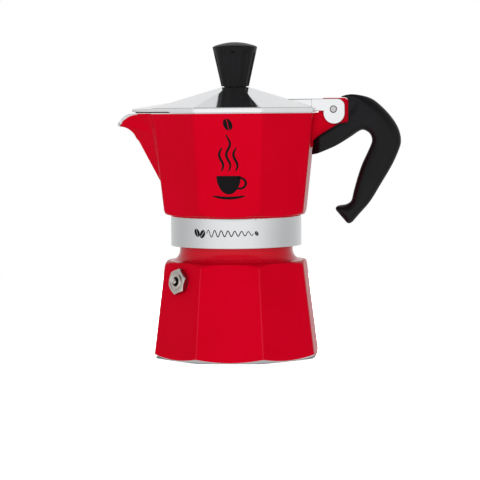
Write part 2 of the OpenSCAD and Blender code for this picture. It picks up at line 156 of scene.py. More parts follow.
def noise(nodes, links, scale, detail, stretch=(1, 1, 1)):
    """Noise over the object's own coordinates, in cycles per metre."""
    place = nodes.new("ShaderNodeTexCoord")
    mapping = nodes.new("ShaderNodeMapping")
    mapping.inputs["Scale"].default_value = stretch
    texture = nodes.new("ShaderNodeTexNoise")
    texture.inputs["Scale"].default_value = scale
    texture.inputs["Detail"].default_value = detail
    links.new(place.outputs["Object"], mapping.inputs["Vector"])
    links.new(mapping.outputs["Vector"], texture.inputs["Vector"])
    return texture


def ramp(nodes, links, source, stops):
    """Colours or grey levels spread over a texture's value."""
    node = nodes.new("ShaderNodeValToRGB")
    elements = node.color_ramp.elements
    while len(elements) < len(stops):
        elements.new(0.5)
    for element, (position, colour) in zip(elements, stops):
        element.position = position
        element.color = (*colour, 1)
    links.new(source, node.inputs["Fac"])
    return node


def grey(value):
    return (value, value, value)


def surface(name, dark, light, rough, metallic, fine, bump, coat=0.0, stretch=(1, 1, 1),
            specular=0.5):
    """Principled surface whose colour, roughness and bump vary with two scales of noise."""
    material, nodes, links = new_material(name)
    shader = nodes["Principled BSDF"]
    shader.inputs["Metallic"].default_value = metallic
    shader.inputs["Specular IOR Level"].default_value = specular
    shader.inputs["Coat Weight"].default_value = coat
    shader.inputs["Coat Roughness"].default_value = 0.06
    broad = noise(nodes, links, 45, 3)
    small = noise(nodes, links, fine, 4, stretch)
    colour = ramp(nodes, links, broad.outputs["Fac"], [(0.3, dark), (0.7, light)])
    links.new(colour.outputs["Color"], shader.inputs["Base Color"])
    roughness = ramp(nodes, links, small.outputs["Fac"], [(0.3, grey(rough[0])), (0.7, grey(rough[1]))])
    links.new(roughness.outputs["Color"], shader.inputs["Roughness"])
    relief = nodes.new("ShaderNodeBump")
    relief.inputs["Strength"].default_value = bump
    relief.inputs["Distance"].default_value = 0.05 * MM
    links.new(small.outputs["Fac"], relief.inputs["Height"])
    links.new(relief.outputs["Normal"], shader.inputs["Normal"])
    return material


RED_PAINT = surface("red_paint", (0.66, 0.0, 0.013), (0.70, 0.0, 0.017), (0.20, 0.26), 0.0,
                    500, 0.04, specular=0.02)
# Paler red for the faces along the upright corners: a painted highlight on each corner
CORNER_HIGHLIGHT_PAINT = surface("red_paint_corner_highlight", (0.68, 0.010, 0.032), (0.72, 0.018, 0.045), (0.24, 0.30), 0.0,
                     500, 0.04, specular=0.05)
NECK_PAINT = surface("red_neck_paint", (0.66, 0.0, 0.013), (0.70, 0.0, 0.017), (0.12, 0.26), 0.0,
                     1400, 0.35, coat=0.08, specular=0.2)
POLISHED = surface("polished_aluminium", (0.86, 0.87, 0.89), (0.92, 0.93, 0.94), (0.06, 0.12), 1.0,
                   700, 0.05)
BAND_METAL = surface("turned_band", (0.82, 0.83, 0.84), (0.86, 0.87, 0.88), (0.22, 0.28), 1.0,
                     260, 0.03, stretch=(1, 1, 14))
BARE_METAL = surface("bare_aluminium", (0.66, 0.67, 0.68), (0.76, 0.77, 0.78), (0.30, 0.44), 1.0,
                     800, 0.25)
NICKEL = surface("nickel", (0.70, 0.65, 0.60), (0.78, 0.73, 0.68), (0.18, 0.24), 1.0, 2500, 0.03)
STEEL = surface("bright_steel", (0.60, 0.60, 0.61), (0.70, 0.70, 0.71), (0.20, 0.32), 1.0,
                1100, 0.15)
PLASTIC = surface("black_plastic", (0.004, 0.004, 0.005), (0.007, 0.006, 0.008), (0.34, 0.44), 0.0,
                  1600, 0.15, specular=0.22)
RUBBER = surface("silicone_rubber", (0.72, 0.70, 0.62), (0.80, 0.78, 0.70), (0.55, 0.70), 0.0,
                 900, 0.2)
# Near-black for the valve's bore and the spring inside it: painted shade in the hole
PAINTED_BORE_SHADE = surface("shaded_bore", (0.02, 0.018, 0.016), (0.03, 0.027, 0.025), (0.5, 0.6), 0.0,
                     900, 0.1)
# Near-black for the lid's underside bead and the valve's gasket: painted shade where they sit in shadow
PAINTED_SHADE_DARK = surface("painted_shade_dark", (0.03, 0.012, 0.010), (0.05, 0.02, 0.018), (0.55, 0.7), 0.0,
                      900, 0.2)
INK = surface("black_ink", (0.006, 0.005, 0.006), (0.010, 0.009, 0.010), (0.4, 0.5), 0.0, 900, 0.05,
              specular=0.05)
SATIN_RIM = surface("satin_rim", (0.93, 0.94, 0.95), (0.95, 0.95, 0.96), (0.28, 0.30), 0.35, 700, 0.0)
# Darker copy of the nickel for the hexagon's flanks: painted shade on the sides
SHADED_NICKEL_FLANK = surface("nickel_flank_painted_shade", grey(0.30), grey(0.36), (0.22, 0.28), 1.0, 500, 0.03)


def turn_on_lathe(material):
    """Stretches reflections across the fine grooves of a turned surface."""
    nodes, links = material.node_tree.nodes, material.node_tree.links
    grooves = nodes.new("ShaderNodeTangent")
    grooves.direction_type = "RADIAL"
    grooves.axis = "Z"
    links.new(grooves.outputs["Tangent"], nodes["Principled BSDF"].inputs["Tangent"])
    nodes["Principled BSDF"].inputs["Anisotropic"].default_value = 0.8


turn_on_lathe(BAND_METAL)


# ------------------------------------------------------------ mesh building

def add_piece(name, mesh, body, nodes):
    """Puts a mesh in the scene as a piece that rides on a body and stands for CAD nodes."""
    piece = bpy.data.objects.new(name, mesh)
    bpy.context.collection.objects.link(piece)
    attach(piece, body)
    if nodes:
        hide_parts(*nodes)
    return piece


def finish_mesh(mesh, angle=30):
    """Smooth shading that stays sharp at real edges."""
    mesh.validate()
    mesh.shade_smooth()
    mesh.set_sharp_from_angle(angle=math.radians(angle))


def weight_normals(piece):
    modifier = piece.modifiers.new("flat_faces_stay_flat", "WEIGHTED_NORMAL")
    modifier.keep_sharp = True


def soft_min(a, b, width):
    """Smaller of two values, rounded over where they meet."""
    near = np.maximum(width - np.abs(a - b), 0) / width
    return np.minimum(a, b) - near * near * width / 4


def soft_max(a, b, width):
    return -soft_min(-a, -b, width)


def columns(extra=()):
    """Angles around the pot, close together at the eight corners and at the extra angles."""
    offsets = [0, 0.15, 0.3, 0.5, 0.75, 1.05, 1.4, 1.9, 2.6, 3.6, 5, 7, 9, 11.5, 14, 17, 20, 22.5]
    turns = set()
    for k in range(FACES):
        corner = 22.5 + 45 * k
        for offset in offsets:
            turns.add(round((corner + offset) % 360, 3))
            turns.add(round((corner - offset) % 360, 3))
    for angle in extra:
        turns.add(round(angle % 360, 3))
    ordered = sorted(turns)
    spaced = [a for i, a in enumerate(ordered) if i == 0 or a - ordered[i - 1] > 0.11]
    return np.radians(np.array(spaced))


def octagon(angle, apothem, rounding):
    """Distance from the axis to an eight-sided wall with rounded corners."""
    sector = math.pi / 4
    off = (angle + sector / 2) % sector - sector / 2
    near = apothem / np.cos(off)
    side = apothem / np.cos(sector - np.abs(off))
    return soft_min(near, side, rounding)


def shell_mesh(name, angle, rows, materials):
    """Closed mesh from rows of (radius, height, material) that start and end on the axis."""
    count = len(angle)
    points = [(0.0, 0.0, float(rows[0][1]))]
    for radius, height, _ in rows[1:-1]:
        r = np.broadcast_to(radius, count)
        z = np.broadcast_to(height, count)
        points += list(zip(r * np.cos(angle), r * np.sin(angle), z))
    points.append((0.0, 0.0, float(rows[-1][1])))
    last = len(points) - 1
    faces, slots = [], []
    inner = len(rows) - 2
    for i in range(count):
        n = (i + 1) % count
        faces.append((0, 1 + n, 1 + i))
        slots.append(rows[1][2])
        for j in range(inner - 1):
            a, b = 1 + j * count, 1 + (j + 1) * count
            faces.append((a + i, a + n, b + n, b + i))
            slots.append(rows[j + 2][2])
        top = 1 + (inner - 1) * count
        faces.append((top + i, top + n, last))
        slots.append(rows[-1][2])
    mesh = bpy.data.meshes.new(name)
    mesh.from_pydata([tuple(map(float, p)) for p in points], [], faces)
    for material in materials:
        mesh.materials.append(material)
    for face, slot in zip(mesh.polygons, slots):
        face.material_index = slot
    return mesh


def line_corners(mesh, paint, edge):
    """Gives the painted faces along the eight upright corners a paler red, a painted highlight down each
    corner.
    """
    for face in mesh.polygons:
        if face.material_index != paint:
            continue
        turn = math.degrees(math.atan2(face.center.y, face.center.x)) - 22.5
        upright = abs(face.normal.z) < 0.35
        if upright and abs((turn + 22.5) % 45 - 22.5) < 0.32:
            face.material_index = edge


def outline_prism(name, outline, low, high, bevel, material, hole=()):
    """Plate from an outline of (x, z) points between two values of y, with an optional hole."""
    mesh = bpy.data.meshes.new(name)
    shape = bmesh.new()
    edges = []
    for loop in (outline, hole):
        ring = [shape.verts.new((x, low, z)) for x, z in loop]
        edges += [shape.edges.new((ring[i - 1], ring[i])) for i in range(len(ring))]
    filled = bmesh.ops.triangle_fill(shape, use_beauty=True, use_dissolve=False, edges=edges)
    faces = [g for g in filled["geom"] if isinstance(g, bmesh.types.BMFace)]
    grown = bmesh.ops.extrude_face_region(shape, geom=faces)
    moved = [v for v in grown["geom"] if isinstance(v, bmesh.types.BMVert)]
    bmesh.ops.translate(shape, verts=moved, vec=(0, high - low, 0))
    bmesh.ops.recalc_face_normals(shape, faces=shape.faces)
    rims = [e for e in shape.edges if abs(e.verts[0].co.y - e.verts[1].co.y) < 1e-7
            and e.calc_face_angle(0) > 0.8]
    bmesh.ops.bevel(shape, geom=rims, offset=bevel, segments=3, profile=0.5, affect="EDGES",
                    clamp_overlap=True)
    shape.to_mesh(mesh)
    shape.free()
    mesh.materials.append(material)
    finish_mesh(mesh, 35)
    return mesh


def join(target, *others):
    """Adds the shells of other meshes to a mesh, keeping each one's own material."""
    shape = bmesh.new()
    shape.from_mesh(target)
    for other in others:
        start = len(shape.faces)
        shape.from_mesh(other)
        shape.faces.ensure_lookup_table()
        slot = len(target.materials)
        target.materials.append(other.materials[0])
        for face in shape.faces[start:]:
            face.material_index = slot
    shape.to_mesh(target)
    shape.free()


def arc(cx, cz, r, start, end, steps):
    """Points of an arc, angles in degrees."""
    turns = np.radians(np.linspace(start, end, steps + 1))
    return [(cx + r * math.cos(a), cz + r * math.sin(a)) for a in turns]


def bisect(low, high, too_high, steps=40):
    """Where a condition first holds between low and high, column by column."""
    for _ in range(steps):
        middle = (low + high) / 2
        over = too_high(middle)
        high = np.where(over, middle, high)
        low = np.where(over, low, middle)
    return (low + high) / 2


# ------------------------------------------------------------------- boiler

def boiler_apothem(z):
    return FLAT * (BOILER_R_BASE + (BOILER_R_SHOULDER - BOILER_R_BASE) * z / SHOULDER_Z)


def build_boiler():
    angle = columns()
    paint, bare, inside, neck = 0, 1, 2, 3
    corner = 1.3 * MM
    shoulder_x = NECK_R + NECK_FILLET
    arc_z = SHOULDER_Z - SHOULDER_ROUND

    def wall(z):
        return octagon(angle, boiler_apothem(z), corner)

    def foot_height(r):
        return (r - FOOT_R) * math.tan(FOOT_SLOPE)

    def shoulder(turn):
        return shoulder_x + SHOULDER_ROUND * np.cos(turn), arc_z + SHOULDER_ROUND * np.sin(turn)

    zero = np.zeros_like(angle)
    foot_top = bisect(zero, zero + 5 * MM, lambda z: z > foot_height(wall(z)))
    arch = bisect(zero, zero + math.pi / 2, lambda t: shoulder(t)[0] < wall(shoulder(t)[1]))
    arch_z = shoulder(arch)[1]
    rows = [(0, 0, bare), (12 * MM, 0, bare), (FOOT_R - 3 * MM, 0, bare), (FOOT_R - 0.4 * MM, 0, bare)]
    rows.append((FOOT_R, 0.12 * MM, bare))
    for part in (0.25, 0.5, 0.75, 0.92, 1.0):
        z = foot_top * part
        rows.append((FOOT_R + z / math.tan(FOOT_SLOPE), z + 0.12 * MM * (1 - part), bare))
    for part in np.concatenate([[0.004, 0.012], np.linspace(0.03, 0.97, 22), [0.985, 0.995]]):
        z = foot_top + (arch_z - foot_top) * part
        turn = np.arcsin(np.clip((z - arc_z) / SHOULDER_ROUND, 0, 1))
        round_r = np.where(z > arc_z, shoulder(turn)[0], 1.0)
        rows.append((soft_min(wall(z), round_r, 0.7 * MM), z, paint))
    for part in np.linspace(0, 1, 14):
        turn = arch + (math.pi / 2 - arch) * part
        r, z = shoulder(turn)
        rows.append((soft_min(r, wall(z), 0.7 * MM), z, paint))
    for turn in np.radians(np.linspace(262, 180, 12)):
        rows.append((shoulder_x + NECK_FILLET * math.cos(turn),
                     SHOULDER_Z + NECK_FILLET + NECK_FILLET * math.sin(turn), neck))
    rows.append((NECK_R, 59.2 * MM, neck))
    for z in np.arange(59.8 * MM, BOILER_TOP - 1.1 * MM, 0.32 * MM):
        phase = (z / THREAD_PITCH - angle / (2 * math.pi)) % 1
        ridge = np.clip(1.6 - np.abs(phase - 0.5) * 4.2, 0, 1)
        lead = min(1, (z - 59.6 * MM) / (1.4 * MM))
        rows.append((NECK_R + (THREAD_ROOT - NECK_R) * lead
                     + (THREAD_CREST - THREAD_ROOT) * ridge * lead, z, bare))
    rows += [(THREAD_ROOT, BOILER_TOP - 0.7 * MM, bare), (THREAD_ROOT - 0.4 * MM, BOILER_TOP, bare),
             (MOUTH_R + 0.5 * MM, BOILER_TOP, bare), (MOUTH_R, BOILER_TOP - 0.5 * MM, inside),
             (MOUTH_R, 59 * MM, inside), (MOUTH_R + 0.6 * MM, 57.6 * MM, inside),
             (31.4 * MM, 51 * MM, inside), (34.2 * MM, 45 * MM, inside), (34.8 * MM, 42 * MM, inside),
             (38.2 * MM, 8 * MM, inside), (38 * MM, 5.4 * MM, inside), (36.5 * MM, 3.6 * MM, inside),
             (34 * MM, BOILER_FLOOR, inside), (12 * MM, BOILER_FLOOR, inside), (0, BOILER_FLOOR, inside)]
    mesh = shell_mesh("boiler_body", angle, rows,
                      [RED_PAINT, BARE_METAL, BARE_METAL, NECK_PAINT, CORNER_HIGHLIGHT_PAINT])
    # The faces along the corners take the painted highlight
    line_corners(mesh, paint, len(mesh.materials) - 1)
    finish_mesh(mesh)
    weight_normals(add_piece("boiler_body", mesh, "boiler", ["boiler"]))


# ---------------------------------------------------------------- collector

def collector_apothem(z):
    share = (z - WALL_Z) / (RIM_Z - WALL_Z)
    return FLAT * (COLLECTOR_R_BASE + (COLLECTOR_R_RIM - COLLECTOR_R_BASE) * share)


def collector_radius(angle, z, wall, side, floor):
    """Distance from the axis to the octagon, the spout's wedge and its beak.

    wall, side and floor move the octagon and the wedge, the beak's sides and its underside inwards.
    """
    off = np.abs((angle - math.pi + math.pi) % (2 * math.pi) - math.pi)
    slant_sin, slant_cos = np.sin(off), np.cos(off)
    body = octagon(angle, collector_apothem(z) - wall, COLLECTOR_CORNER)
    facing = off < math.radians(44)
    keel = KEEL_X + (z - KEEL_Z) * math.tan(KEEL_LEAN) - 1.3 * wall
    wedge = keel * WEDGE_SPREAD / (slant_sin + slant_cos * WEDGE_SPREAD)
    wedge = np.where(facing & (z > 84 * MM), wedge - 0.35 * MM * (off < 0.02), 0)
    apex = BEAK_X + (z - BEAK_Z) * math.tan(BEAK_LEAN) - 1.6 * side / math.cos(BEAK_LEAN)
    third = np.maximum(apex, 0) * BEAK_SPREAD / (slant_sin + slant_cos * BEAK_SPREAD)
    curve_x, curve_z, curve_r = BEAK_CURVE
    lift = np.clip((z - curve_z) / (curve_r + floor), 0, 1)
    under = curve_x - (curve_r + floor) * np.sqrt(1 - lift * lift)
    under = np.where(z > curve_z + curve_r + floor, 80 * MM, under)
    under = under / slant_cos
    flank = 6.9 * MM - side
    taper = (flank - (BEAK_TIP_R - side)) / (BEAK_TIP_X - 53 * MM)
    reach = (flank + taper * 53 * MM) / (slant_sin + slant_cos * taper)
    tip_r = BEAK_TIP_R - side
    inside = np.clip(tip_r ** 2 - (BEAK_TIP_X * slant_sin) ** 2, 0, None)
    tip = BEAK_TIP_X * slant_cos + np.sqrt(inside)
    plan = np.where(inside > 0, np.minimum(np.maximum(reach, tip), tip), reach)
    beak = soft_min(soft_min(plan, third, 1.2 * MM), under, 0.6 * MM)
    beak = np.where(facing & (z > 112 * MM), beak, 0)
    return soft_max(soft_max(body, wedge, WEDGE_BLEND), beak, BEAK_BLEND)


def build_collector():
    around_spout = np.concatenate([np.arange(-12, 12.01, 0.4), np.arange(-48, 48.1, 1.0)]) + 180
    angle = columns(around_spout)
    paint, band, bare, inside = 0, 1, 2, 3
    off = np.degrees(np.abs(angle - math.pi))
    floor_lift = 1.8 * MM
    zero = np.zeros_like(angle)

    def outer(z):
        return collector_radius(angle, z, 0, 0, 0)

    def inner(z):
        return collector_radius(angle, z, COLLECTOR_WALL, 1.6 * MM, floor_lift)

    def lip_height(r):
        x = r * np.cos(angle)
        lip_x, lip_z, lip_r = LIP
        reach = np.clip((-x - lip_x) / lip_r, 0, 1)
        return np.where(-x > 57 * MM, lip_z + lip_r * np.sqrt(1 - reach ** 2), RIM_Z)

    def rim(radius):
        return bisect(zero + 119 * MM, zero + RIM_Z, lambda z: z > lip_height(radius(z)))

    def lower(turn):
        return LOWER_ROUND_X + LOWER_ROUND * np.cos(turn), LOWER_ROUND_Z + LOWER_ROUND * np.sin(turn)

    def plain_wall(z):
        return octagon(angle, collector_apothem(z), COLLECTOR_CORNER)

    arch = bisect(zero - math.pi / 2, zero, lambda t: lower(t)[0] > plain_wall(lower(t)[1]))
    arch_z = lower(arch)[1]
    top_out, top_in = rim(outer), rim(inner)
    rows = [(0, RECESS_Z, bare), (8 * MM, RECESS_Z, bare), (RECESS_R - 0.3 * MM, RECESS_Z, bare),
            (RECESS_R, RECESS_Z - 0.3 * MM, bare), (RECESS_R, 70.6 * MM, bare)]
    for z in np.arange(70.2 * MM, BAND_Z + 0.7 * MM, -0.35 * MM):
        phase = (z / THREAD_PITCH - angle / (2 * math.pi)) % 1
        ridge = np.clip(1.4 - np.abs(phase - 0.5) * 4.2, 0, 1)
        rows.append((RECESS_R - 0.3 * MM * ridge, z, bare))
    rows += [(RECESS_R, BAND_Z + 0.3 * MM, bare), (RECESS_R + 0.3 * MM, BAND_Z, bare),
             (BAND_R - 0.2 * MM, BAND_Z, band), (BAND_R - 0.06 * MM, BAND_Z + 0.06 * MM, band),
             (BAND_R, BAND_Z + 0.2 * MM, band), (BAND_R, BAND_Z + 0.3 * MM, band)]
    rows += [(BAND_R, z, band) for z in np.linspace(BAND_Z + 1.2 * MM, BAND_TOP_Z - 0.6 * MM, 8)]
    rows += [(BAND_R - 0.25 * MM, BAND_TOP_Z, band), (BAND_R - 0.3 * MM, BAND_TOP_Z + 0.3 * MM, paint),
             (LOWER_ROUND_X - 0.4 * MM, BAND_TOP_Z + 0.65 * MM, paint)]
    for part in np.linspace(0, 1, 14):
        turn = -math.pi / 2 + (arch + math.pi / 2) * part
        r, z = lower(turn)
        rows.append((soft_min(r, plain_wall(z), 0.7 * MM), z, paint))
    crowd = 1 + np.clip((24 - off) / 10, 0, 1)
    for part in np.linspace(0.012, 1, 76):
        share = 1 - (1 - part) ** crowd
        z = arch_z + (top_out - arch_z) * share
        turn = np.arcsin(np.clip((z - LOWER_ROUND_Z) / LOWER_ROUND, -1, 0))
        round_r = np.where(z < LOWER_ROUND_Z, lower(turn)[0], 1.0)
        rows.append((soft_min(outer(z), round_r, 0.7 * MM), z, paint))
    edge = 0.3 * MM
    out_r, in_r = rows[-1][0], inner(top_in)
    rows[-1] = (out_r, top_out - edge, paint)
    rows += [(out_r - edge, top_out, bare), (in_r + edge, top_in, bare), (in_r, top_in - edge, inside)]
    floor_round = 5 * MM
    bottom = FLOOR_Z + floor_round
    for part in np.linspace(0.02, 1, 40):
        z = top_in - edge + (bottom - top_in + edge) * (1 - (1 - part ** crowd))
        rows.append((inner(z), z, inside))
    for turn in np.radians(np.linspace(12, 90, 6)):
        base = octagon(angle, collector_apothem(bottom) - COLLECTOR_WALL, COLLECTOR_CORNER)
        rows.append((base - floor_round * (1 - math.cos(turn)), bottom - floor_round * math.sin(turn),
                     inside))
    rows += [(12 * MM, FLOOR_Z, inside), (0, FLOOR_Z, inside)]
    mesh = shell_mesh("collector_body", angle, rows, [RED_PAINT, BAND_METAL, POLISHED, BARE_METAL])
    # The paint stops just short of the beak's lip
    lip_x, lip_z, lip_r = LIP
    for face in mesh.polygons:
        out = -face.center.x - lip_x
        if face.material_index == paint and out > 0 and face.center.z > LIP_BARE_Z:
            if lip_r - math.hypot(out, face.center.z - lip_z) < LIP_BARE:
                face.material_index = bare
    finish_mesh(mesh)

    sweep = 8.1 * MM
    top = HINGE_Z + 6 * MM
    low_turn = 180 + math.degrees(math.asin((HINGE_Z - RIM_Z) / sweep))
    high_turn = 180 - math.degrees(math.asin((top - HINGE_Z) / sweep))
    outline = ([(39.6 * MM, 111 * MM), (41.6 * MM, RIM_Z - 0.3 * MM)]
               + arc(HINGE_X, HINGE_Z, sweep, low_turn, high_turn, 8)
               + [(59 * MM, top), (67 * MM, 133 * MM), (67 * MM, 128 * MM), (62 * MM, 122.3 * MM),
                  (44 * MM, 113 * MM)])
    bracket = outline_prism("bracket", outline, -4.1 * MM, 4.1 * MM, 0.5 * MM, RED_PAINT)
    join(mesh, bracket)
    weight_normals(add_piece("collector_body", mesh, "collector", ["collector"]))


# ---------------------------------------------------------------------- lid

def build_lid():
    angle = columns(np.arange(-64, 64.1, 1.0) + 180)
    top, edge = KNOB_Z, LID_Z + LID_EDGE
    slope = (top - edge) / (LID_A - LID_FLAT_A)
    sector = math.pi / 4
    octagon_r = octagon(angle, LID_A, 0.9 * MM)

    # The cover's outline: a round end joined by straight sides to its root
    centre = np.array([-COVER_X, 0.0])
    root = np.array([-COVER_ROOT_X, COVER_ROOT_Y])
    reach = np.linalg.norm(root - centre)
    tilt = math.atan2(root[1] - centre[1], root[0] - centre[0]) + math.acos(COVER_R / reach)
    normal = np.array([math.cos(tilt), math.sin(tilt)])
    offset = normal @ root
    off = np.abs(angle - math.pi)
    ray = np.stack([-np.cos(off), np.sin(off)])
    side = np.where(normal @ ray > 0.05, offset / np.maximum(normal @ ray, 0.05), 1.0)
    span = np.clip(COVER_R ** 2 - (COVER_X * np.sin(off)) ** 2, 0, None)
    end = COVER_X * np.cos(off) + np.sqrt(span)
    touch = centre + COVER_R * normal
    touch_off = math.atan2(touch[1], -touch[0])
    cover_r = np.where(off < touch_off, end, side)
    cover_r = np.where(off < math.atan2(COVER_ROOT_Y, COVER_ROOT_X), cover_r, 0)
    outline = soft_max(octagon_r, cover_r, 0.4 * MM)

    def height(r):
        x, y = r * np.cos(angle), r * np.sin(angle)
        bend = (angle + sector / 2) % sector - sector / 2
        along = r * np.cos(bend)
        across = r * np.cos(sector - np.abs(bend))
        facet = soft_max(along, across, 0.7 * MM)
        dome = soft_min(top - slope * (facet - LID_FLAT_A), np.full_like(x, top), 0.25 * MM)
        roof = RIDGE_Z + (x + RIDGE_X) * RIDGE_FALL - soft_max(y, -y, 1.0 * MM) * ROOF_FALL
        roof = np.where(x < -RIDGE_X, roof, 0)
        return soft_max(dome, roof, 0.3 * MM)

    low = LID_Z + COVER_LIFT * np.clip((COVER_TURN - off) / COVER_STEP, 0, 1)
    inset = 1.9 * MM
    outside, inside, edge_side, bead = 0, 1, 2, 3
    rows = [(0, top, outside), (4 * MM, height(4 * MM + 0 * angle), outside)]
    for part in np.concatenate([np.linspace(0.12, 0.97, 52), [0.985]]):
        rows.append((outline * part, height(outline * part), outside))
    round_edge = 0.35 * MM
    edge_z = height(outline)
    # The bead on the underside is painted near-black, a painted shadow that closes the gap below the
    # spout's cover
    rows += [(outline - round_edge, height(outline - round_edge), outside),
             (outline - 0.1 * MM, edge_z - 0.1 * MM, outside), (outline, edge_z - round_edge, outside),
             (outline, edge_z - 1.2 * MM, edge_side), (outline, low + round_edge, edge_side),
             (outline - 0.1 * MM, low + 0.1 * MM, edge_side), (outline - round_edge, low, outside),
             (outline - inset, low, bead), (outline - inset - 0.1 * MM, LID_Z + 0.02 * MM, bead),
             (outline - inset - 0.7 * MM, LID_Z + 0.02 * MM, inside)]
    under = outline - inset - 0.8 * MM
    rows.append((under, np.maximum(height(under) - LID_WALL * 1.15, low + 0.2 * MM), inside))
    for part in np.linspace(0.96, 0.12, 30):
        r = under * part
        rows.append((r, np.maximum(height(r) - LID_WALL * 1.05, low + 0.2 * MM), inside))
    rows += [(3 * MM, top - LID_WALL, inside), (0, top - LID_WALL, inside)]
    # The rows run from the top outwards and back below, so the faces are turned outwards after
    mesh = shell_mesh("lid_shell", angle, rows, [POLISHED, BARE_METAL, SATIN_RIM, PAINTED_SHADE_DARK])
    shape = bmesh.new()
    shape.from_mesh(mesh)
    bmesh.ops.recalc_face_normals(shape, faces=shape.faces)
    shape.to_mesh(mesh)
    shape.free()
    finish_mesh(mesh, 22)

    ear_inner, ear_outer = 4.4 * MM, 7 * MM
    lobe_x, lobe_z, lobe_r = HINGE_X + 0.3 * MM, HINGE_Z - 2.1 * MM, 5.7 * MM
    ear_top = HINGE_Z + 5.6 * MM
    corner = 4 * MM
    ear = ([(LID_A - 1.5 * MM, HINGE_Z - 0.9 * MM), (lobe_x - 5.58 * MM, HINGE_Z - 0.9 * MM)]
           + arc(lobe_x, lobe_z, lobe_r, 168, 360, 26)
           + arc(lobe_x + lobe_r - corner, ear_top - corner, corner, 0, 90, 8)
           + [(LID_A - 1.5 * MM, ear_top)])
    bridge_x = HINGE_X - 9 * MM
    block = [(26 * MM, ear_top - 0.2 * MM), (27 * MM, ear_top), (bridge_x, ear_top),
             (bridge_x, HINGE_Z - 0.9 * MM), (LID_A - 2 * MM, HINGE_Z - 0.9 * MM),
             (30 * MM, height(30 * MM + 0 * angle)[0] - 1.2 * MM)]
    eye = arc(HINGE_X, HINGE_Z, 1.8 * MM, 0, 350, 35)
    pieces = [outline_prism("ear", ear, *span, 0.3 * MM, POLISHED, eye)
              for span in ((-ear_outer, -ear_inner), (ear_inner, ear_outer))]
    pieces.append(outline_prism("block", block, -6.2 * MM, 6.2 * MM, 0.45 * MM, POLISHED))
    join(mesh, *pieces)
    weight_normals(add_piece("lid_shell", mesh, "lid", ["lid"]))


# --------------------------------------------------------------------- knob

def build_knob():
    flutes = 10
    angle = np.linspace(0, 2 * math.pi, flutes * 28, endpoint=False)
    foot_r, top_r = 7.3 * MM, 12 * MM
    flute_r, depth = 3 * MM, 0.85 * MM
    sector = 2 * math.pi / flutes
    off = np.abs(angle % sector - sector / 2)
    flute_end = KNOB_TOP - 5.4 * MM
    edge_z = KNOB_TOP - 2.9 * MM
    edge_r, dome = 0.6 * MM, 2.4 * MM

    def cone(z):
        return foot_r + (top_r - foot_r) * (z - KNOB_Z) / (edge_z - KNOB_Z)

    seat_r, recess = foot_r - 1.3 * MM, 0.4 * MM
    rows = [(0, KNOB_Z, 0), (seat_r, KNOB_Z, 0), (seat_r, KNOB_Z + recess, 0),
            (foot_r - 1.1 * MM, KNOB_Z + recess, 0)]
    for z in np.linspace(KNOB_Z + recess + 0.15 * MM, edge_z - 0.4 * MM, 60):
        r = cone(z)
        fade = np.clip((flute_end + 0.9 * MM - z) / (1.8 * MM), 0, 1)
        centre = r + flute_r - depth * math.sin(fade * math.pi / 2) + (1 - fade) * 0.7 * MM
        span = np.clip(flute_r ** 2 - (centre * np.sin(off)) ** 2, 0, None)
        flute = np.where(span > 0, centre * np.cos(off) - np.sqrt(span), 1.0)
        rows.append((soft_min(np.full_like(off, r), flute, 0.25 * MM), z, 0))
    for turn in np.radians(np.linspace(0, 66, 7)):
        rows.append((top_r - edge_r + edge_r * math.cos(turn), edge_z + edge_r * math.sin(turn), 0))
    for share in np.linspace(0.94, 0.08, 14):
        rows.append((top_r * share, KNOB_TOP - dome * share * share, 0))
    rows.append((0, KNOB_TOP, 0))
    mesh = shell_mesh("knob_grip", angle, rows, [PLASTIC])
    finish_mesh(mesh, 40)
    add_piece("knob_grip", mesh, "lid", ["knob"])


# ------------------------------------------------------------------- handle

def even_mesh(source, voxel):
    """Copy of a node's mesh, rebuilt with small faces of one size."""
    copy = bpy.data.objects.new("copy", source.data.copy())
    copy.matrix_world = source.matrix_world
    bpy.context.collection.objects.link(copy)
    remesh = copy.modifiers.new("even", "REMESH")
    remesh.mode = "VOXEL"
    remesh.voxel_size = voxel
    shape = copy.evaluated_get(bpy.context.evaluated_depsgraph_get())
    mesh = bpy.data.meshes.new_from_object(shape)
    mesh.transform(copy.matrix_world)
    bpy.data.objects.remove(copy)
    return mesh


def cheek_share(x, z):
    """How far a point is into the flat cheek beside the lid's ears: 0 outside, 1 inside."""
    inside = 1.0
    for i, (x0, z0) in enumerate(CHEEK):
        x1, z1 = CHEEK[(i + 1) % len(CHEEK)]
        across = ((x - x0) * (z1 - z0) - (z - z0) * (x1 - x0)) / math.hypot(x1 - x0, z1 - z0)
        inside = min(inside, across / (0.8 * MM))
    return max(inside, 0.0)


